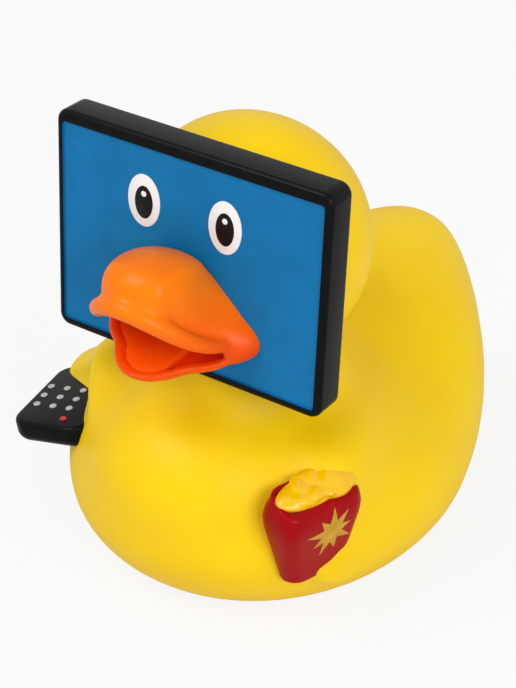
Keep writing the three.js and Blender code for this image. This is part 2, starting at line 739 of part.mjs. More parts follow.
// The starburst painted on the front of the bag, with long and short points
const starShape = new THREE.Shape(Array.from({ length: 2 * STAR_POINTS }, (_, i) => {
  const angle = (Math.PI * i) / STAR_POINTS;
  const point = STAR_RADIUS * (i % 4 === 0 ? 1 : STAR_UNEVEN);
  const radius = i % 2 === 0 ? point : STAR_WAIST;
  return new THREE.Vector2(radius * Math.cos(angle), radius * Math.sin(angle));
}));
const star = solid(
  new THREE.ExtrudeGeometry(starShape, { depth: BAG_DEPTH, bevelEnabled: false })
    .rotateX(standUp)
    .translate(STAR_ASIDE, 0, -STAR_DOWN)
    .applyMatrix4(bagPlace),
  gold,
);
const openBag = bagSolid(0, red).subtract(bagMouth);
const bag = [...crisps, star.intersect(bagSolid(PAINT, gold).subtract(bagMouth))].reduce(
  (whole, piece) => whole.add(piece),
  openBag,
);

// The tip of the left wing: three feathers side by side that run out into the flank
const feathers = [1, 0, -1].map((step) => {
  const middle = new THREE.Vector3(
    HAND_ACROSS + step * FEATHER_STEP_ACROSS,
    HAND_DEEP,
    step * FEATHER_STEP_DOWN - HAND_DOWN,
  );
  const place = new THREE.Matrix4().makeRotationY(radians(FEATHER_SLOPE)).setPosition(middle);
  const toFeather = bagPlace.clone().multiply(place).invert();
  const form = ball([0, 0, 0], [FEATHER_LENGTH, FEATHER_THICKNESS, FEATHER_WIDTH]);
  return (x, y, z) => form(...new THREE.Vector3(x, y, z).applyMatrix4(toFeather));
});
const handMiddle = new THREE.Vector3(HAND_ACROSS, HAND_DEEP, -HAND_DOWN).applyMatrix4(bagPlace);
const handReach = FEATHER_LENGTH / 2 + HAND_BLEND + FEATHER_STEP_DOWN;
const handField = (x, y, z) => {
  const tips = feathers.map((feather) => feather(x, y, z)).reduce((a, b) => blend(a, b, FEATHER_BLEND));
  const hand = blend(tips, bodyField(x, y, z) + HAND_SINK, HAND_BLEND);
  return Math.max(hand, handMiddle.distanceTo(new THREE.Vector3(x, y, z)) - handReach);
};
const hand = solid(skinOf(
  handField,
  handMiddle.toArray().map((value) => value - handReach - 2 * HAND_FACET),
  handMiddle.toArray().map((value) => value + handReach + 2 * HAND_FACET),
  HAND_FACET,
), yellow);

// The remote control: a slab with eased edges, level enough to read its keys
function remoteRing(height, inset) {
  return roundedOutline(REMOTE_WIDTH / 2 - inset, REMOTE_LENGTH / 2 - inset, REMOTE_SQUARENESS, REMOTE_FACETS)
    .map(([x, y]) => new THREE.Vector3(x, y, height).applyMatrix4(remotePlace));
}

const remoteBody = solid(loft([
  remoteRing(-REMOTE_THICKNESS, REMOTE_EDGE * 1.6),
  remoteRing(-REMOTE_THICKNESS + REMOTE_EDGE * 0.5, REMOTE_EDGE * 0.6),
  remoteRing(-REMOTE_THICKNESS + REMOTE_EDGE * 1.4, 0),
  remoteRing(-REMOTE_EDGE * 0.5, 0),
  remoteRing(-REMOTE_EDGE * 0.12, REMOTE_EDGE * 0.15),
  remoteRing(0, REMOTE_EDGE * 0.5),
]), black);

function key(x, y, paint) {
  return solid(
    new THREE.CylinderGeometry(KEY_WIDTH / 2, KEY_WIDTH / 2, 2 * KEY_RAISE, KEY_FACETS)
      .rotateX(standUp)
      .translate(x, y, 0)
      .applyMatrix4(remotePlace),
    paint,
  );
}

const keys = [key(RED_KEY_ASIDE, RED_KEY_BACK, keyRed)];
for (let row = 0; row < KEY_ROWS; row += 1) {
  for (let column = 0; column < KEY_COLUMNS; column += 1) {
    const x = (column - (KEY_COLUMNS - 1) / 2) * KEY_PITCH_ACROSS - KEYS_ASIDE;
    const y = ((KEY_ROWS - 1) / 2 - row) * KEY_PITCH_ALONG + KEYS_BACK;
    keys.push(key(x, y, grey));
  }
}
const remote = keys.reduce((whole, k) => whole.add(k), remoteBody);

// The skin stops inside the panel, and the hollow stops at the panel's back.
const aheadOfPanel = (y, z) => block([-reachSide, -reachFront, z], [reachSide, y, reachTop], yellow);
const throat = panelBottom + PANEL_EDGE;
const outer = [panel, ...eyes, bill, bag, hand, remote].reduce(
  (whole, piece) => whole.add(piece),
  skin.subtract(aheadOfPanel(panelFront + PANEL_DEPTH / 2, throat)),
);
const belowBase = block([-reachSide, -reachFront, fieldLow[2]], [reachSide, reachBack, 0], yellow);
const airHole = solid(
  new THREE.CylinderGeometry(AIR_HOLE / 2, AIR_HOLE / 2, 6 * WALL, 16)
    .rotateX(standUp)
    .translate(0, AIR_HOLE_BACK, 0),
  yellow,
);
const inside = hollow.subtract(aheadOfPanel(panelBack, throat - WALL));
const moulded = outer.subtract(belowBase).subtract(inside).subtract(airHole);

// Gives a solid back as a mesh, each field of paint as a group with its own material.
function paintedMesh(whole, name) {
  const { vertProperties, triVerts, runIndex, runOriginalID } = whole.getMesh();
  const geometry = new THREE.BufferGeometry();
  geometry.setAttribute('position', new THREE.BufferAttribute(new Float32Array(vertProperties), 3));
  geometry.setIndex([...triVerts]);
  const paints = [];
  runOriginalID.forEach((id, run) => {
    const paint = paintOf.get(id);
    if (runIndex[run + 1] === runIndex[run]) return;
    if (!paints.includes(paint)) paints.push(paint);
    geometry.addGroup(runIndex[run], runIndex[run + 1] - runIndex[run], paints.indexOf(paint));
  });
  geometry.computeVertexNormals();
  const mesh = new THREE.Mesh(geometry, paints);
  mesh.name = name;
  return mesh;
}

const duck = new THREE.Group();
duck.add(paintedMesh(moulded, 'duck'));

export default duck;
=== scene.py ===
from math import cos, pi, radians, sin

import bmesh
import bpy
from mathutils import Matrix, Vector


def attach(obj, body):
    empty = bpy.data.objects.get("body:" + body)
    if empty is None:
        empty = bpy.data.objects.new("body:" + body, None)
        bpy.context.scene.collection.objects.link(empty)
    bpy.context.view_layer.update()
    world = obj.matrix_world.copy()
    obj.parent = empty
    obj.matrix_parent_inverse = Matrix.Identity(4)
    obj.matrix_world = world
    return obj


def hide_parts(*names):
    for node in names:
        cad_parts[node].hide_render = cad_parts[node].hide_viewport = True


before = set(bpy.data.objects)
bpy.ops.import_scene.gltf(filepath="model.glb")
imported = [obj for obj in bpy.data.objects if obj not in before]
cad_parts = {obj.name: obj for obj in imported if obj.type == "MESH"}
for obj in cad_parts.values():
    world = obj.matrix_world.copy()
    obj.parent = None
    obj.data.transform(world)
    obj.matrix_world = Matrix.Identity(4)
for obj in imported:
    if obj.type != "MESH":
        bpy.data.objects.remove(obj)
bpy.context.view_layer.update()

# The body: wings, tail, neck and head are one hollow moulding of soft yellow vinyl.
# It leaves the mould as one skin, so its lumps are joined here and rubbed into one another.
MM = 0.001
HULL = (0, 0.5, 15.2), (70.6, 83.4, 44.4)
BREAST = (0, -22, 21.4), (43.4, 38.6, 34)
RUMP = (0, 21.7, 22.9), (57.4, 53.4, 36.4), 27
TAIL = (0, 40.1, 29.6), (25.2, 33.2, 14), 42
WING = (18.4, -9.6, 27.9), (18.6, 39.4, 20), 0, 22.7
NECK = (0, -11, 43.4), (31, 31, 26)
HEAD = (0, -11, 62.1), (43.2, 40.2, 43)
PANEL_FRONT = -29.3
HEAD_CUT = 1.6
AIR_HOLE = 3.6
AIR_HOLE_BACK = 12
AIR_HOLE_DRILL = 16
HOLE_MARGIN = 1
PLUG_HEIGHT = 4
WELD = 0.001
REAR_FROM = -8
REAR_FADE = 12
REMOTE_SPOT = (-28.86, -23.07, 24.81)
REMOTE_PLACE = Matrix.Translation(Vector(REMOTE_SPOT)) @ Matrix((
    (0.9765, -0.139, -0.1648, 0), (0.1281, 0.9889, -0.0752, 0), (0.1734, 0.0523, 0.9835, 0), (0, 0, 0, 1),
))
WRIST = (-1.4, 12, -3.2), (12, 16, 12), 8
ROOM_SIZE = 30
ROOM_CORNER = (3.9, 5)
ROOM_TURN = 17.5
ROOM_SINK = 0.8


def put_down():
    bpy.ops.object.select_all(action="DESELECT")


def take_up(*pieces):
    put_down()
    for piece in pieces:
        piece.select_set(True)
    bpy.context.view_layer.objects.active = pieces[0]


def set_in_place(piece):
    take_up(piece)
    bpy.ops.object.transform_apply(location=True, rotation=True, scale=True)


def ball(centre, sizes, lift=0, yaw=0):
    put_down()
    bpy.ops.mesh.primitive_uv_sphere_add(segments=64, ring_count=40, radius=0.5, location=Vector(centre) * MM)
    lump = bpy.context.object
    lump.rotation_euler = (radians(lift), 0, radians(yaw))
    lump.scale = Vector(sizes) * MM
    set_in_place(lump)
    return lump


def fix(piece, kind, **settings):
    take_up(piece)
    modifier = piece.modifiers.new(kind.lower(), kind)
    for name, value in settings.items():
        setattr(modifier, name, value)
    bpy.ops.object.modifier_apply(modifier=modifier.name)


def rub_together(lumps, grain, rubs):
    """Joins lumps into one skin of the given grain in mm, and rubs the creases between them full."""
    take_up(*lumps)
    bpy.ops.object.join()
    mass = bpy.context.object
    fix(mass, "REMESH", mode="VOXEL", voxel_size=grain * MM)
    fix(mass, "SMOOTH", factor=0.5, iterations=rubs)
    return mass


def fill_creases(mass, radius, grain):
    """Rolls a ball of the given radius into every crease: the skin is swelled, knitted and shrunk back."""
    fix(mass, "DISPLACE", strength=radius * MM, mid_level=0, direction="NORMAL")
    fix(mass, "REMESH", mode="VOXEL", voxel_size=grain * MM)
    fix(mass, "DISPLACE", strength=-radius * MM, mid_level=0, direction="NORMAL")
    fix(mass, "REMESH", mode="VOXEL", voxel_size=grain * MM)


def slice_off(piece, point, normal):
    """Cuts a piece with a plane, throws away the side that the normal points to, and closes the cut."""
    take_up(piece)
    bpy.ops.object.mode_set(mode="EDIT")
    bpy.ops.mesh.select_all(action="SELECT")
    bpy.ops.mesh.bisect(plane_co=Vector(point) * MM, plane_no=normal, use_fill=True, clear_outer=True)
    bpy.ops.object.mode_set(mode="OBJECT")


def block(low, high):
    put_down()
    middle = (Vector(low) + Vector(high)) / 2
    bpy.ops.mesh.primitive_cube_add(size=1, location=middle * MM)
    made = bpy.context.object
    made.scale = (Vector(high) - Vector(low)) * MM
    set_in_place(made)
    return made


def drop(*pieces):
    for piece in pieces:
        bpy.data.objects.remove(piece, do_unlink=True)


def move_by(piece, *steps):
    """Moves a piece's mesh by one or more matrices that are in mm."""
    move = Matrix.Scale(MM, 4)
    for step in steps:
        move = move @ step
    piece.data.transform(move @ Matrix.Scale(1 / MM, 4))


body = rub_together([ball(*HULL), ball(*RUMP), ball(*TAIL)], grain=1, rubs=4)
fill_creases(body, radius=30, grain=1)
wings = [ball((side * WING[0][0], *WING[0][1:]), WING[1], 0, side * WING[3]) for side in (1, -1)]
body = rub_together([body, ball(*BREAST), *wings], grain=0.9, rubs=4)
fill_creases(body, radius=14, grain=0.9)
head = ball(*HEAD)
slice_off(head, (0, PANEL_FRONT + HEAD_CUT, 0), (0, -1, 0))
wrist = ball(REMOTE_PLACE @ Vector(WRIST[0]), WRIST[1], 0, WRIST[2])
body = rub_together([body, ball(*NECK), head, wrist], grain=0.8, rubs=3)
fill_creases(body, radius=7, grain=0.8)
fix(body, "SMOOTH", factor=0.5, iterations=8)
room = block((-ROOM_SIZE, -ROOM_SIZE, -ROOM_SINK), (ROOM_SIZE, ROOM_SIZE, ROOM_SIZE))
slice_off(room, (*ROOM_CORNER, 0), (cos(radians(ROOM_TURN)), sin(radians(ROOM_TURN)), 0))
slice_off(room, (*ROOM_CORNER, 0), (sin(radians(ROOM_TURN)), cos(radians(ROOM_TURN)), 0))
move_by(room, REMOTE_PLACE)
fix(body, "BOOLEAN", object=room, operation="DIFFERENCE", solver="EXACT")
drop(room)
body = rub_together([body], grain=0.7, rubs=6)
slice_off(body, (0, 0, 0), (0, 0, -1))

# Behind the breast the skin is drawn onto the skin of the solid, which fades in over a few mm.
# The solid's air hole is plugged first, and the hole is drilled again at the end.
rear = body.vertex_groups.new(name="rear")
for vertex in body.data.vertices:
    spot = vertex.co / MM
    from_hole = (spot.xy - Vector((0, AIR_HOLE_BACK))).length
    near_hole = spot.z < PLUG_HEIGHT / 2 and from_hole < AIR_HOLE + HOLE_MARGIN
    share = min(max((spot.y - REAR_FROM) / REAR_FADE, 0), 1)
    if share > 0 and not near_hole:
        rear.add([vertex.index], share, "REPLACE")
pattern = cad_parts["duck"].copy()
pattern.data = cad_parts["duck"].data.copy()
bpy.context.collection.objects.link(pattern)
take_up(pattern)
bpy.ops.object.mode_set(mode="EDIT")
bpy.ops.mesh.select_all(action="SELECT")
bpy.ops.mesh.remove_doubles(threshold=WELD * MM)
bpy.ops.object.mode_set(mode="OBJECT")
plug = ball((0, AIR_HOLE_BACK, PLUG_HEIGHT / 2), (2 * AIR_HOLE, 2 * AIR_HOLE, PLUG_HEIGHT))
pattern = rub_together([pattern, plug], grain=0.8, rubs=0)
fix(body, "SHRINKWRAP", target=pattern, wrap_method="NEAREST_SURFACEPOINT", vertex_group="rear")
drop(pattern)
fix(body, "SMOOTH", factor=0.5, iterations=16)
body.name = "body"


# Every finish on the duck is paint or bare vinyl: smooth, faintly mottled, with a very fine orange peel.
# The group gives the colour, roughness and grain of such a skin, and each finish sets its own values.
def colour(code):
    channels = [int(code[i:i + 2], 16) / 255 for i in (0, 2, 4)]
    linear = [c / 12.92 if c <= 0.04045 else ((c + 0.055) / 1.055) ** 2.4 for c in channels]
    return (*linear, 1)


moulded_skin = bpy.data.node_groups.new("moulded skin", "ShaderNodeTree")
for name, kind, value in (
    ("Colour", "NodeSocketColor", (0.8, 0.8, 0.8, 1)),
    ("Shade", "NodeSocketColor", (0.6, 0.6, 0.6, 1)),
    ("Patch Size", "NodeSocketFloat", 14.0),
    ("Patchiness", "NodeSocketFloat", 0.5),
    ("Roughness", "NodeSocketFloat", 0.4),
    ("Roughness Spread", "NodeSocketFloat", 0.1),
    ("Grain Size", "NodeSocketFloat", 0.5),
    ("Low Colour", "NodeSocketColor", (0.8, 0.8, 0.8, 1)),
    ("Low From", "NodeSocketFloat", -1.0),
    ("Low To", "NodeSocketFloat", -2.0),
):
    socket = moulded_skin.interface.new_socket(name, in_out="INPUT", socket_type=kind)
    socket.default_value = value
for name, kind in (
    ("Colour", "NodeSocketColor"), ("Roughness", "NodeSocketFloat"), ("Grain", "NodeSocketFloat"),
):
    moulded_skin.interface.new_socket(name, in_out="OUTPUT", socket_type=kind)


def node(tree, kind, inputs=(), **settings):
    made = tree.nodes.new(kind)
    for name, value in settings.items():
        setattr(made, name, value)
    for slot, value in dict(inputs).items():
        if isinstance(value, bpy.types.NodeSocket):
            tree.links.new(value, made.inputs[slot])
        else:
            made.inputs[slot].default_value = value
    return made


PER_METRE = 1000.0
NOISE_MIDDLE = 0.5
given = node(moulded_skin, "NodeGroupInput").outputs
place = node(moulded_skin, "ShaderNodeTexCoord").outputs["Object"]
patch_scale = node(
    moulded_skin, "ShaderNodeMath", {0: PER_METRE, 1: given["Patch Size"]}, operation="DIVIDE",
).outputs[0]
grain_scale = node(
    moulded_skin, "ShaderNodeMath", {0: PER_METRE, 1: given["Grain Size"]}, operation="DIVIDE",
).outputs[0]
patches = node(moulded_skin, "ShaderNodeTexNoise", {
    "Vector": place, "Scale": patch_scale, "Detail": 3.0,
}).outputs["Fac"]
grain = node(moulded_skin, "ShaderNodeTexNoise", {
    "Vector": place, "Scale": grain_scale, "Detail": 2.0,
}).outputs["Fac"]
spread = node(moulded_skin, "ShaderNodeMapRange", {
    "Value": patches, "From Min": 0.35, "From Max": 0.7, "To Min": 0.0, "To Max": given["Patchiness"],
}).outputs[0]
mixed = node(moulded_skin, "ShaderNodeMix", {
    0: spread, 6: given["Colour"], 7: given["Shade"],
}, data_type="RGBA").outputs[2]
sway = node(moulded_skin, "ShaderNodeMath", {0: patches, 1: -NOISE_MIDDLE}, operation="ADD").outputs[0]
rough = node(moulded_skin, "ShaderNodeMath", {
    0: sway, 1: given["Roughness Spread"], 2: given["Roughness"],
}, operation="MULTIPLY_ADD").outputs[0]
height = node(moulded_skin, "ShaderNodeSeparateXYZ", {"Vector": place}).outputs["Z"]
lowness = node(moulded_skin, "ShaderNodeMapRange", {
    "Value": height, "From Min": given["Low To"], "From Max": given["Low From"], "To Min": 1.0, "To Max": 0.0,
}).outputs[0]
mixed = node(moulded_skin, "ShaderNodeMix", {
    0: lowness, 6: mixed, 7: given["Low Colour"],
}, data_type="RGBA").outputs[2]
node(moulded_skin, "NodeGroupOutput", {"Colour": mixed, "Roughness": rough, "Grain": grain})


def finish(
    name, lit, shade, roughness,
    spread=0.08, patches=14.0, patchiness=0.5, grain=0.5, relief=0.02, shine=0.22, low=None,
):
    """A finish. Its low is a (colour, top, bottom): what it turns to between two heights in mm."""
    made = bpy.data.materials.new(name)
    made.use_nodes = True
    tree = made.node_tree
    tree.nodes.clear()
    skin = node(tree, "ShaderNodeGroup", node_tree=moulded_skin)
    for socket, value in (
        ("Colour", colour(lit)), ("Shade", colour(shade)),
        ("Patch Size", patches), ("Patchiness", patchiness),
        ("Roughness", roughness), ("Roughness Spread", spread), ("Grain Size", grain),
    ):
        skin.inputs[socket].default_value = value
    if low:
        skin.inputs["Low Colour"].default_value = colour(low[0])
        skin.inputs["Low From"].default_value = low[1] * MM
        skin.inputs["Low To"].default_value = low[2] * MM
    bump = node(tree, "ShaderNodeBump", {
        "Height": skin.outputs["Grain"], "Strength": 1.0, "Distance": relief * MM,
    })
    shader = node(tree, "ShaderNodeBsdfPrincipled", {
        "Base Color": skin.outputs["Colour"], "Roughness": skin.outputs["Roughness"],
        "Normal": bump.outputs[0], "Specular IOR Level": shine,
    })
    node(tree, "ShaderNodeOutputMaterial", {"Surface": shader.outputs[0]})
    return made


def wear(piece, *finishes):
    piece.data.materials.clear()
    for made in finishes:
        piece.data.materials.append(made)


def hand_in(piece, name):
    piece.name = name
    take_up(piece)
    bpy.ops.object.shade_smooth()
    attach(piece, "root")
    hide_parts("duck")


yellow_vinyl = finish("yellow vinyl", "F7CF00", "F2C400", 0.45, grain=0.7, relief=0.012)

# The wing that holds the snacks: three low feathers of the same yellow skin, folded over the foot of the bag.
# The other wing stops behind the remote control.
BAG_SPOT = (24.91, -27.38, 29.7)
BAG_FACING = 74
BAG_PLACE = Matrix.Translation(Vector(BAG_SPOT)) @ Matrix.Rotation(radians(BAG_FACING), 4, "Z")
FEATHER = (13, 6, 5.6)
FEATHER_SLOPE = 33
FEATHERS_ACROSS = 7.5
FEATHERS_BACK = -0.3
FEATHERS_DOWN = 15.2
FEATHER_STEP_ACROSS = 3.4
FEATHER_STEP_UP = 2.7
feathers = []
for step in (1, 0, -1):
    across = FEATHERS_ACROSS + FEATHER_STEP_ACROSS * step
    spot = BAG_PLACE @ Vector((across, FEATHERS_BACK, FEATHER_STEP_UP * step - FEATHERS_DOWN))
    put_down()
    bpy.ops.mesh.primitive_uv_sphere_add(segments=48, ring_count=32, radius=0.5, location=spot * MM)
    feather = bpy.context.object
    feather.scale = Vector(FEATHER) * MM
    facing = Matrix.Rotation(radians(BAG_FACING), 3, "Z")
    slope = Matrix.Rotation(radians(FEATHER_SLOPE), 3, "Y")
    feather.rotation_euler = (facing @ slope).to_euler()
    set_in_place(feather)
    feathers.append(feather)
body = rub_together([body, *feathers], grain=0.6, rubs=2)
fill_creases(body, radius=3, grain=0.6)
fix(body, "SMOOTH", factor=0.5, iterations=6)

put_down()
bpy.ops.mesh.primitive_cylinder_add(
    vertices=48, radius=AIR_HOLE / 2 * MM, depth=AIR_HOLE_DRILL * MM, location=(0, AIR_HOLE_BACK * MM, 0),
)
drill = bpy.context.object
fix(body, "BOOLEAN", object=drill, operation="DIFFERENCE", solver="EXACT")
drop(drill)
wear(body, yellow_vinyl)
hand_in(body, "body")

# The television: a flat black slab with eased edges, moulded with the head.
# A thin raised rim runs round its screen. The screen is sprayed blue, the rest is glossy black.
SCREEN_WIDTH = 50
SCREEN_HEIGHT = 36.7
SCREEN_MIDDLE = 64.5
RIM_SIDE = 1.3
RIM_TOP = 2
RIM_BOTTOM = 1.6
RIM_HEIGHT = 0.3
PANEL_DEPTH = 6.3
PANEL_CORNER = 2.2
PANEL_EDGE = 0.9
POCKET_AHEAD = 1
SCREEN_CORNER = 0.6
EDGE_ANGLE = 40


def ease(piece, width, steps, chosen=lambda a, b: True, sharpest=0.5):
    """Rounds the sharp edges that the test picks, given both ends of an edge in mm."""
    take_up(piece)
    bpy.ops.object.mode_set(mode="EDIT")
    mesh = bmesh.from_edit_mesh(piece.data)
    for edge in mesh.edges:
        ends = [vertex.co / MM for vertex in edge.verts]
        edge.select = len(edge.link_faces) == 2 and edge.calc_face_angle() > sharpest and chosen(*ends)
    bmesh.update_edit_mesh(piece.data)
    bpy.ops.mesh.bevel(offset=width * MM, segments=steps, affect="EDGES")
    bpy.ops.object.mode_set(mode="OBJECT")


half_width = SCREEN_WIDTH / 2 + RIM_SIDE
panel_top = SCREEN_MIDDLE + SCREEN_HEIGHT / 2 + RIM_TOP
panel_bottom = SCREEN_MIDDLE - SCREEN_HEIGHT / 2 - RIM_BOTTOM
panel_back = PANEL_FRONT + PANEL_DEPTH
television = block((-half_width, PANEL_FRONT, panel_bottom), (half_width, panel_back, panel_top))
ease(television, PANEL_CORNER, 10, lambda a, b: abs(a.y - b.y) > PANEL_DEPTH / 2)
ease(television, PANEL_EDGE, 6)
pocket = block(
    (-SCREEN_WIDTH / 2, PANEL_FRONT - POCKET_AHEAD, SCREEN_MIDDLE - SCREEN_HEIGHT / 2),
    (SCREEN_WIDTH / 2, PANEL_FRONT + RIM_HEIGHT, SCREEN_MIDDLE + SCREEN_HEIGHT / 2),
)
ease(pocket, SCREEN_CORNER, 4, lambda a, b: abs(a.y - b.y) > RIM_HEIGHT)
black_paint = finish("black paint", "0F0F10", "0B0B0C", 0.22, patches=9.0, grain=0.6, relief=0.02, shine=0.07)
blue_paint = finish(
    "blue paint", "0474AE", "026CA4", 0.4, patches=6.0, patchiness=0.9, grain=0.4, relief=0.03, shine=0.14,
)
wear(television, black_paint)
wear(pocket, blue_paint)
fix(television, "BOOLEAN", object=pocket, operation="DIFFERENCE", solver="EXACT", material_mode="TRANSFER")
drop(pocket)
hand_in(television, "television")
bpy.ops.object.shade_smooth_by_angle(angle=radians(EDGE_ANGLE))

# The eyes: pad-printed ovals, white, then the black pupil, then a small white glint.
EYE = (6.3, 9.3)
PUPIL = (3.5, 5.8)
GLINT = (1, 1)
EYE_SPACING = 15.7
EYE_UP = 8.8
GLINT_UP = 1.2
PUPIL_DOWN = 0.3
FACE_ASIDE = -0.9
PAINT = 0.06


def oval(size, x, z, layer, name, made):
    put_down()
    depth = 4 * PAINT
    middle = PANEL_FRONT + RIM_HEIGHT - PAINT * layer + depth / 2
    bpy.ops.mesh.primitive_cylinder_add(
        vertices=64, radius=0.5, depth=1, location=Vector((x, middle, z)) * MM, rotation=(pi / 2, 0, 0),
    )
    spot = bpy.context.object
    spot.scale = (size[0] * MM, size[1] * MM, depth * MM)
    set_in_place(spot)
    ease(spot, PAINT / 2, 2)
    wear(spot, made)
    hand_in(spot, name)
    bpy.ops.object.shade_smooth_by_angle(angle=radians(EDGE_ANGLE))


white_print = finish("white print", "F2F2F0", "E9E9E6", 0.38, relief=0.01)
black_print = finish("black print", "101011", "141415", 0.35, relief=0.01, shine=0.14)
for side, word in ((-1, "right"), (1, "left")):
    eye_x = FACE_ASIDE + side * EYE_SPACING / 2
    eye_z = SCREEN_MIDDLE + EYE_UP
    oval(EYE, eye_x, eye_z, 1, word + "_eye_white", white_print)
    oval(PUPIL, eye_x, eye_z - PUPIL_DOWN, 2, word + "_pupil", black_print)
    oval(GLINT, eye_x, eye_z + GLINT_UP, 3, word + "_glint", white_print)

# The bill: a broad dome that runs back to the cheeks, a rolled lip that rises to the tip,
# and an open lower jaw.
# All of it is one lump of the skin, sprayed orange. Towards the jaw it turns a darker, redder orange: partly
# the paint's own redder tone, partly painted shade on the bill's underside.
NOSE = (14.6, 17.6, 10.3)
NOSE_AHEAD = 7.5
NOSE_DOWN = 0.3
NOSE_TIP_UP = 10.5
NOSE_ROUNDNESS = 0.77
BRIM = (15, 22, 8.5)
BRIM_AHEAD = 3
BRIM_DOWN = 5.6
BRIM_TIP_UP = 25
ROOT = (23, 14, 11)
ROOT_DOWN = 7
ROOT_BACK = 1
BILL_SUNK = 2
CHEEKS = (31, 14.3, 11)
CHEEKS_DOWN = 10.4
CHEEKS_ROUNDNESS = 0.82
SKIRT_SHARE = 0.72
SKIRT_UP = 2.1
SKIRT_THICKNESS = 4
SKIRT_EVERY = 4
LIP_WIDTH = 23.8
LIP_REACH = 16.2
LIP_CORNER_DOWN = 10
LIP_TIP_DOWN = 1.1
LIP_CURL = 2.3
LIP_THICKNESS = (1.7, 3.5)
LIP_BACK = 1
LIP_STATIONS = 96
GAPE_BELOW = 10
GAPE_AHEAD = 6
GAPE_STEPS = 12
GAPE_MARGIN = 0.8
JAW_DOWN = 11.6
JAW_TILT = 10
JAW_DEPTH = 9.4
JAW_WIDE = (25.6, 20.6)
JAW_LONG = (17.8, 28.6)
JAW_RIM = 1.05
BOWL_UP = 1


def from_mouth(x, y, z):
    return FACE_ASIDE + x, PANEL_FRONT + y, SCREEN_MIDDLE + z


def lip_height(share):
    return -LIP_CORNER_DOWN + (LIP_CORNER_DOWN - LIP_TIP_DOWN) * share ** LIP_CURL


def boxy_ball(centre, sizes, lift, roundness):
    """A form between a box (roundness 0) and a ball (1): a finely divided cube cast towards a sphere."""
    put_down()
    bpy.ops.mesh.primitive_cube_add(size=1)
    lump = bpy.context.object
    fix(lump, "SUBSURF", subdivision_type="SIMPLE", levels=5)
    fix(lump, "CAST", cast_type="SPHERE", factor=roundness, radius=0, size=0.5, use_radius_as_size=False)
    lump.scale = Vector(sizes) * MM
    lump.rotation_euler = (radians(lift), 0, 0)
    lump.location = Vector(centre) * MM
    set_in_place(lump)
    return lump


def bead_string(points, widths):
    """A rolled edge: a bead at each point, near enough to its neighbours to rub into one roll."""
    return [ball(from_mouth(*point), (width, width, width)) for point, width in zip(points, widths)]


lip_line = []
for station in range(LIP_STATIONS + 1):
    angle = pi * station / LIP_STATIONS
    share = sin(angle)
    ahead = LIP_BACK - (LIP_REACH + LIP_BACK) * share
    lip_line.append((share, LIP_WIDTH / 2 * cos(angle), ahead, lip_height(share)))
skirt_line = [(SKIRT_SHARE * x, SKIRT_SHARE * y, z + SKIRT_UP) for share, x, y, z in lip_line[::SKIRT_EVERY]]
skirt = bead_string(skirt_line, [SKIRT_THICKNESS] * len(skirt_line))
nose = boxy_ball(from_mouth(0, -NOSE_AHEAD, -NOSE_DOWN), NOSE, -NOSE_TIP_UP, NOSE_ROUNDNESS)
brim = ball(from_mouth(0, -BRIM_AHEAD, -BRIM_DOWN), BRIM, -BRIM_TIP_UP)
root = ball(from_mouth(0, ROOT_BACK, -ROOT_DOWN), ROOT)
cheeks = boxy_ball(from_mouth(0, ROOT_BACK, -CHEEKS_DOWN), CHEEKS, 0, CHEEKS_ROUNDNESS)
dome = rub_together([nose, brim, root, cheeks, *skirt], grain=0.4, rubs=6)
fill_creases(dome, radius=10, grain=0.4)
fix(dome, "SMOOTH", factor=0.5, iterations=12)

# The gape under the lip is cut out of the dome: a wedge with its roof along the lip line.
put_down()
bpy.ops.mesh.primitive_plane_add(size=1)
gape = bpy.context.object
gape_low = -CHEEKS_DOWN - GAPE_BELOW
gape_front = LIP_REACH + GAPE_AHEAD
outline = [(0, gape_low), (gape_front, gape_low), (gape_front, lip_height(1))]
outline += [
    (LIP_REACH * step / GAPE_STEPS, lip_height(step / GAPE_STEPS)) for step in range(GAPE_STEPS, -1, -1)
]
shape = bmesh.new()
gape_side = -LIP_WIDTH / 2 + GAPE_MARGIN
corners = [shape.verts.new(Vector(from_mouth(gape_side, -ahead, high)) * MM) for ahead, high in outline]
shape.faces.new(corners)
shape.to_mesh(gape.data)
shape.free()
take_up(gape)
bpy.ops.object.mode_set(mode="EDIT")
bpy.ops.mesh.select_all(action="SELECT")
gape_width = (LIP_WIDTH - 2 * GAPE_MARGIN) * MM
bpy.ops.mesh.extrude_region_move(TRANSFORM_OT_translate={"value": (gape_width, 0, 0)})
bpy.ops.mesh.select_all(action="SELECT")
bpy.ops.mesh.normals_make_consistent(inside=False)
bpy.ops.object.mode_set(mode="OBJECT")
fix(dome, "BOOLEAN", object=gape, operation="DIFFERENCE", solver="EXACT")
drop(gape)
widths = [LIP_THICKNESS[0] + (LIP_THICKNESS[1] - LIP_THICKNESS[0]) * share for share, x, y, z in lip_line]
lip = rub_together(bead_string([point[1:] for point in lip_line], widths), grain=0.3, rubs=6)
upper = rub_together([dome, lip], grain=0.28, rubs=3)
fill_creases(upper, radius=0.5, grain=0.28)
fix(upper, "SMOOTH", factor=0.5, iterations=4)


def scoop(narrower, lift):
    """The jaw's plan is two ovals, a wide short one and a narrow long one, rubbed into one pointed scoop."""
    ovals = [
        ball(
            from_mouth(0, 0, lift - JAW_DOWN),
            (wide - 2 * narrower, long - 2 * narrower, JAW_DEPTH),
            JAW_TILT,
        )
        for wide, long in (JAW_WIDE, JAW_LONG)
    ]
    made = rub_together(ovals, grain=0.3, rubs=4)
    fill_creases(made, radius=6, grain=0.3)
    return made


def level_off(piece, down):
    """Slices a part of the mouth off along the jaw's tilted rim, at a depth under it."""
    slice_off(piece, from_mouth(0, 0, -JAW_DOWN - down), (0, -sin(radians(JAW_TILT)), cos(radians(JAW_TILT))))


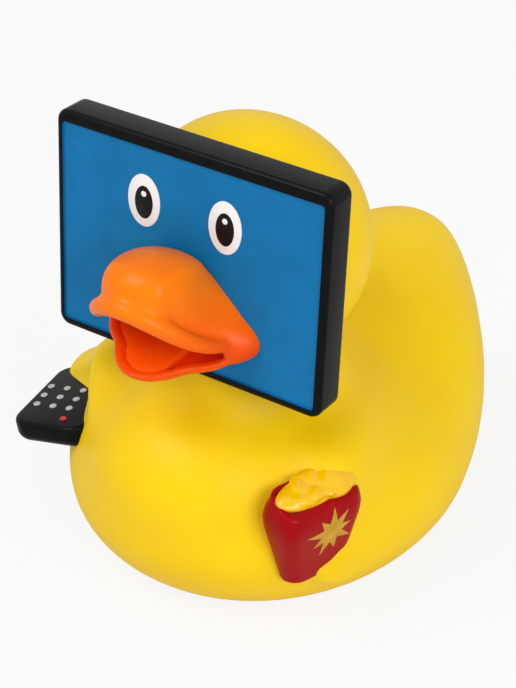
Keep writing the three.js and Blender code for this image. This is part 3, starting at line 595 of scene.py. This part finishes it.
jaw = scoop(narrower=0, lift=0)
level_off(jaw, 0)
bowl = scoop(narrower=JAW_RIM, lift=BOWL_UP)
fix(jaw, "BOOLEAN", object=bowl, operation="DIFFERENCE", solver="EXACT")
drop(bowl)
jaw = rub_together([jaw], grain=0.26, rubs=8)
# The low colour darkens and reddens the bill below 64 mm: partly redder paint, partly painted shade under the
# cheeks and jaw.
orange_paint = finish(
    "orange paint", "FF8000", "FF7400", 0.3, patches=8.0, relief=0.015, shine=0.16, low=("F04E04", 64, 54),
)
bill = rub_together([upper, jaw], grain=0.28, rubs=2)
slice_off(bill, (0, PANEL_FRONT + BILL_SUNK, 0), (0, 1, 0))
wear(bill, orange_paint)
hand_in(bill, "bill")

# The tongue and the floor of the mouth: the hollow of the jaw, moulded with it and sprayed a redder orange;
# the floor is darker still, partly its own deeper red and partly painted shade in the hollow.
# Both are cut from the jaw's own scoop, so they lie close in it, with a thin groove round the tongue.
TONGUE_GROOVE = 0.45
TONGUE_SIDE = 3.7
TONGUE_UP = 0.5
TONGUE_DOWN = 0.5
FLOOR_OVERLAP = 0.3
FLOOR_UP = 0.5
FLOOR_DOWN = 1.8
mouth_paint = finish(
    "mouth paint", "FF660C", "F85808", 0.34, patches=7.0, patchiness=0.8, relief=0.012, shine=0.15,
)
tongue = scoop(narrower=JAW_RIM + TONGUE_GROOVE, lift=TONGUE_UP)
level_off(tongue, TONGUE_DOWN)
slice_off(tongue, from_mouth(TONGUE_SIDE, 0, 0), (1, 0, 0))
slice_off(tongue, (0, PANEL_FRONT + BILL_SUNK, 0), (0, 1, 0))
tongue = rub_together([tongue], grain=0.3, rubs=6)
floor_of_mouth = scoop(narrower=JAW_RIM - FLOOR_OVERLAP, lift=FLOOR_UP)
level_off(floor_of_mouth, FLOOR_DOWN)
slice_off(floor_of_mouth, (0, PANEL_FRONT + BILL_SUNK, 0), (0, 1, 0))
floor_of_mouth = rub_together([floor_of_mouth], grain=0.3, rubs=3)
wear(tongue, mouth_paint)
# The floor's deeper red is partly its own paint and partly painted shade in the hollow round the tongue.
mouth_floor_paint_and_shade = finish("mouth floor paint and painted shade", "FF4808", "F43C06", 0.34, patches=7.0, relief=0.012, shine=0.15)
wear(floor_of_mouth, mouth_floor_paint_and_shade)
hand_in(tongue, "tongue")
hand_in(floor_of_mouth, "mouth_floor")

# The snack bag: a red pouch moulded onto the flank, narrower at its foot, with a rolled rim.
# It is drawn up level by level from its foot, sliced along its tilted mouth and hollowed there.
BAG = (15.8, 7, 16.8)
BAG_FOOT = (13.4, 5)
BAG_FOOT_SHIFT = (1.5, 0.5)
BAG_CORNER = 2.8
BAG_BULGE = 1.8
BAG_BULGE_HIGH = 2.6
BAG_TILT = 18
BAG_RIM = 0.85
BAG_MOUTH = 1.2
MOUTH_TOP = 2
BAG_LEVELS = [0, 0.15, 0.32, 0.52, 0.68, 0.8, 0.9, 1, 1.2]
FACES_UP = 0.9
STANDS = 1


def pick_faces(piece, chosen):
    """Leaves the piece in edit mode with the faces that the test picks by middle in mm and normal."""
    take_up(piece)
    bpy.ops.object.mode_set(mode="EDIT")
    bpy.ops.mesh.select_mode(type="FACE")
    bpy.ops.mesh.select_all(action="DESELECT")
    mesh = bmesh.from_edit_mesh(piece.data)
    for face in mesh.faces:
        face.select = chosen(face.calc_center_median() / MM, face.normal)
    mesh.select_flush_mode()
    bmesh.update_edit_mesh(piece.data)


def swell(share):
    """How far the bag has widened at a share of the way up. Over its top it stays as wide."""
    return 1 - (1 - min(share, 1)) ** 2


def bag_level(share):
    """The bag's full width, full depth and middle at a share of the way up, all in mm."""
    swollen = swell(share)
    bulge = BAG_BULGE * sin(pi * min(share, 1) ** BAG_BULGE_HIGH)
    sizes = [foot + (top - foot) * swollen + bulge for foot, top in zip(BAG_FOOT, BAG)]
    return Vector(sizes), Vector(BAG_FOOT_SHIFT) * (1 - swollen)


def tilt(high):
    """The slope of the bag's mouth, which rises from the front rim to the back rim."""
    lean = Matrix.Rotation(radians(BAG_TILT), 4, "X")
    return Matrix.Translation((0, 0, high)) @ lean


sizes, shift = bag_level(0)
bag = block((*(shift - sizes / 2), -BAG[2]), (*(shift + sizes / 2), -BAG[2] * (1 - BAG_LEVELS[1])))
pick_faces(bag, lambda middle, normal: normal.z > FACES_UP)
for low, high in zip(BAG_LEVELS, BAG_LEVELS[1:]):
    if low > 0:
        rise = (high - low) * BAG[2] * MM
        bpy.ops.mesh.extrude_region_move(TRANSFORM_OT_translate={"value": (0, 0, rise)})
    next_sizes, next_shift = bag_level(high)
    bpy.ops.transform.resize(value=(next_sizes.x / sizes.x, next_sizes.y / sizes.y, 1))
    bpy.ops.transform.translate(value=(*((next_shift - shift) * MM), 0))
    sizes, shift = next_sizes, next_shift
bpy.ops.object.mode_set(mode="OBJECT")
ease(bag, BAG_CORNER, 8, lambda a, b: abs(a.z - b.z) > STANDS)
slice_off(bag, tilt(0).translation, tilt(0).to_3x3() @ Vector((0, 0, 1)))
bag = rub_together([bag], grain=0.25, rubs=12)
mouth_half = Vector((BAG[0], BAG[1])) / 2 - Vector((1, 1)) * BAG_RIM
mouth = block((*-mouth_half, -BAG_MOUTH), (*mouth_half, MOUTH_TOP))
ease(mouth, BAG_CORNER - BAG_RIM, 10, lambda a, b: abs(a.z - b.z) > STANDS)
move_by(mouth, tilt(0))
fix(bag, "BOOLEAN", object=mouth, operation="DIFFERENCE", solver="EXACT")
drop(mouth)
bag = rub_together([bag], grain=0.17, rubs=5)
move_by(bag, BAG_PLACE)
red_paint = finish("red paint", "A4080E", "94060A", 0.26, patches=7.0, relief=0.02, shine=0.08)
wear(bag, red_paint)
hand_in(bag, "snack_bag")

# The crisps: one glossy yellow heap in the mouth of the bag, moulded and painted with it.
# Two low beds carry eight crisps, each given by its place, its length, its turn and its tip.
HEAP_UP = 0.3
BEDS = ((-1, 0, -0.5), (13.6, 6.2, 3.2)), ((3.8, -0.3, 0.2), (8.6, 6.6, 4.4))
CRISP_SLIM = 0.66
CRISP_THICKNESS = 1.8
CRISPS = (
    ((-4.9, 0.4, -0.1), 5, 25, 12),
    ((-3.3, -0.9, 0.1), 5.4, -30, -10),
    ((-2.2, 1.2, 0.3), 5.4, 60, 14),
    ((-0.4, -0.9, 0.4), 5.6, 15, -12),
    ((0.9, 1.1, 0.9), 5.6, -35, 10),
    ((2.6, -1, 0.9), 5.8, 40, -12),
    ((4.2, 0.5, 1.5), 5.6, 5, 10),
    ((5.5, -0.9, 1.1), 4.8, -50, -8),
)
crisps = [ball(*bed) for bed in BEDS]
for spot, long, turn, tip in CRISPS:
    crisps.append(ball(spot, (long, long * CRISP_SLIM, CRISP_THICKNESS), tip, turn))
heap = rub_together(crisps, grain=0.2, rubs=6)
move_by(heap, BAG_PLACE, tilt(HEAP_UP))
crisp_paint = finish(
    "crisp paint", "F6C200", "EEB000", 0.12, patches=3.0, patchiness=0.8, grain=0.6, relief=0.03, shine=0.4,
)
wear(heap, crisp_paint)
hand_in(heap, "crisps")

# The starburst: a flat field of mustard paint on the front of the bag, with nine uneven points.
# It is pushed into the bag, and what lies in a thin coat over the bag's skin is kept.
STAR_RADIUS = 5.2
STAR_WAIST = 2.3
STAR_POINTS = (1, 0.84, 1.12, 0.8, 0.95, 0.86, 1.04, 0.78, 0.92)
STAR_REACH = 5
STAR_ASIDE = 1.2
STAR_DOWN = 6.9
put_down()
bpy.ops.mesh.primitive_circle_add(vertices=2 * len(STAR_POINTS), radius=STAR_RADIUS * MM, fill_type="NGON")
star = bpy.context.object
for number, corner in enumerate(star.data.vertices):
    if number % 2:
        corner.co *= STAR_WAIST / STAR_RADIUS
    else:
        corner.co *= STAR_POINTS[number // 2]
take_up(star)
bpy.ops.object.mode_set(mode="EDIT")
bpy.ops.mesh.select_all(action="SELECT")
bpy.ops.mesh.extrude_region_move(TRANSFORM_OT_translate={"value": (0, 0, -STAR_REACH * MM)})
bpy.ops.mesh.select_all(action="SELECT")
bpy.ops.mesh.normals_make_consistent(inside=False)
bpy.ops.object.mode_set(mode="OBJECT")
star_spot = (STAR_ASIDE, -BAG[1] / 2 - STAR_REACH / 2, -STAR_DOWN)
upright = Matrix.Translation(star_spot) @ Matrix.Rotation(pi / 2, 4, "X")
move_by(star, BAG_PLACE, upright)
coated = bag.copy()
coated.data = bag.data.copy()
bpy.context.collection.objects.link(coated)
fix(coated, "DISPLACE", strength=PAINT * MM, mid_level=0, direction="NORMAL")
fix(star, "BOOLEAN", object=coated, operation="INTERSECT", solver="EXACT")
drop(coated)
mustard_paint = finish(
    "mustard paint", "CFA02C", "BB8A1C", 0.45, patches=2.5, patchiness=1.0, grain=0.4, relief=0.04,
)
wear(star, mustard_paint)
hand_in(star, "starburst")
bpy.ops.object.shade_smooth_by_angle(angle=radians(EDGE_ANGLE))

# The remote control: a black slab with rounded edges, moulded into the right wing.
# Nine grey keys and a red one stand a little proud of its top and are painted.
REMOTE = (15, 19, 4.6)
REMOTE_HELD = 1.2
REMOTE_CORNER = 3.3
REMOTE_UNDER_EDGE = 2.2
REMOTE_TOP_EDGE = 0.8
NEAR_TOP = 0.1
KEYS_A_SIDE = 3
KEY_HEIGHT = 0.4
KEY_EDGE = 0.12
KEY_ACROSS = 3.4
KEY_ALONG = 3
KEY_WIDTH = 1.3
KEYS_ASIDE = 2.05
KEYS_BACK = -0.2
KEY_LEAN = 0.25
RED_KEY = (2.35, -6.6)
remote = block((-REMOTE[0] / 2, -REMOTE[1] / 2, -REMOTE[2]), (REMOTE[0] / 2, REMOTE[1] / 2 + REMOTE_HELD, 0))
ease(remote, REMOTE_CORNER, 10, lambda a, b: abs(a.z - b.z) > REMOTE[2] / 2)
ease(remote, REMOTE_UNDER_EDGE, 8, lambda a, b: a.z < -REMOTE[2] / 2 and b.z < -REMOTE[2] / 2)
ease(remote, REMOTE_TOP_EDGE, 5, lambda a, b: a.z > -NEAR_TOP and b.z > -NEAR_TOP)
move_by(remote, REMOTE_PLACE)
wear(remote, black_paint)
hand_in(remote, "remote")
bpy.ops.object.shade_smooth_by_angle(angle=radians(EDGE_ANGLE))


def key(x, y, made, name):
    put_down()
    bpy.ops.mesh.primitive_cylinder_add(
        vertices=32, radius=KEY_WIDTH / 2 * MM, depth=KEY_HEIGHT * MM, location=Vector((x, y, 0)) * MM,
    )
    dot = bpy.context.object
    set_in_place(dot)
    ease(dot, KEY_EDGE, 3)
    move_by(dot, REMOTE_PLACE)
    wear(dot, made)
    hand_in(dot, name)
    bpy.ops.object.shade_smooth_by_angle(angle=radians(EDGE_ANGLE))


grey_paint = finish("grey paint", "C4C4C6", "AEB0B2", 0.45, patches=1.5, relief=0.02)
key_red_paint = finish("red key paint", "C8232F", "B01C28", 0.35, patches=1.5, relief=0.02)
for row in range(KEYS_A_SIDE):
    for column in range(KEYS_A_SIDE):
        rows_up = KEYS_A_SIDE // 2 - row
        across = (column - KEYS_A_SIDE // 2) * KEY_ACROSS - KEYS_ASIDE - rows_up * KEY_LEAN
        key(across, rows_up * KEY_ALONG + KEYS_BACK, grey_paint, f"key_{row + 1}_{column + 1}")
key(*RED_KEY, key_red_paint, "red_key")

# The room: a pale floor, soft light from all round, a softbox above the duck's right shoulder
# and a fill lamp at its left.
FLOOR_SIZE = 4
FLOOR_GLOW = 0.85
SKY_LIGHT = 0.47
LAMP_AIM = (0, 0, 0.04)
LAMP_SIZE = (0.8, 0.8)
LAMP_POWER = 10.5
SOFTBOX_PLACE = (-0.5, -0.9, 1.3)
FILL_PLACE = (1.2, -0.6, 0.7)
put_down()
bpy.ops.mesh.primitive_plane_add(size=FLOOR_SIZE, location=(0, 0, 0))
floor = bpy.context.object
floor.name = "floor"
floor_paper = bpy.data.materials.new("floor paper")
floor_paper.use_nodes = True
paper = floor_paper.node_tree
paper.nodes.clear()
matt = node(paper, "ShaderNodeBsdfPrincipled", {"Base Color": (0.8, 0.8, 0.8, 1), "Roughness": 0.9})
bright = node(paper, "ShaderNodeEmission", {"Color": (1, 1, 1, 1), "Strength": 1.0})
looked_at = node(paper, "ShaderNodeMath", {
    0: node(paper, "ShaderNodeLightPath").outputs["Is Camera Ray"], 1: FLOOR_GLOW,
}, operation="MULTIPLY").outputs[0]
lit_paper = node(paper, "ShaderNodeMixShader", {0: looked_at, 1: matt.outputs[0], 2: bright.outputs[0]})
node(paper, "ShaderNodeOutputMaterial", {"Surface": lit_paper.outputs[0]})
floor.data.materials.append(floor_paper)

world = bpy.data.worlds.new("studio")
bpy.context.scene.world = world
world.use_nodes = True
sky = world.node_tree
sky.nodes.clear()
ray = node(sky, "ShaderNodeLightPath").outputs
seen = node(sky, "ShaderNodeMath", {
    0: ray["Is Camera Ray"], 1: ray["Is Glossy Ray"],
}, operation="MAXIMUM").outputs[0]
seen = node(sky, "ShaderNodeMath", {0: seen, 1: ray["Is Transmission Ray"]}, operation="MAXIMUM").outputs[0]
strength = node(sky, "ShaderNodeMapRange", {"Value": seen, "To Min": SKY_LIGHT, "To Max": 1.0}).outputs[0]
air = node(sky, "ShaderNodeBackground", {"Color": (1, 1, 1, 1), "Strength": strength})
node(sky, "ShaderNodeOutputWorld", {"Surface": air.outputs[0]})


def lamp(name, place, target, size, power):
    data = bpy.data.lights.new(name, "AREA")
    data.shape = "RECTANGLE"
    data.size, data.size_y = size
    data.energy = power
    made = bpy.data.objects.new(name, data)
    bpy.context.collection.objects.link(made)
    made.location = place
    made.rotation_euler = (Vector(target) - Vector(place)).to_track_quat("-Z", "Y").to_euler()


lamp("softbox", SOFTBOX_PLACE, LAMP_AIM, LAMP_SIZE, LAMP_POWER)
lamp("fill", FILL_PLACE, LAMP_AIM, LAMP_SIZE, LAMP_POWER)

# The camera stands in front of the duck's left side and a little above it.
CAMERA_PLACE = (0.1602, -0.2634, 0.2211)
CAMERA_RIGHT = Vector((0.8355, 0.5482, 0.0381))
CAMERA_UP = Vector((-0.3107, 0.4140, 0.8556))
camera_data = bpy.data.cameras.new("camera")
camera_data.sensor_fit = "AUTO"
camera_data.sensor_width = 36
camera_data.lens = 105.3
camera_data.clip_start = 0.01
camera = bpy.data.objects.new("camera", camera_data)
bpy.context.collection.objects.link(camera)
right = CAMERA_RIGHT.normalized()
back = right.cross(CAMERA_UP).normalized()
up = back.cross(right)
aim = Matrix((right, up, back)).transposed().to_4x4()
camera.matrix_world = Matrix.Translation(CAMERA_PLACE) @ aim
bpy.context.scene.camera = camera
bpy.context.scene.view_settings.view_transform = "Standard"

bpy.context.view_layer.update()
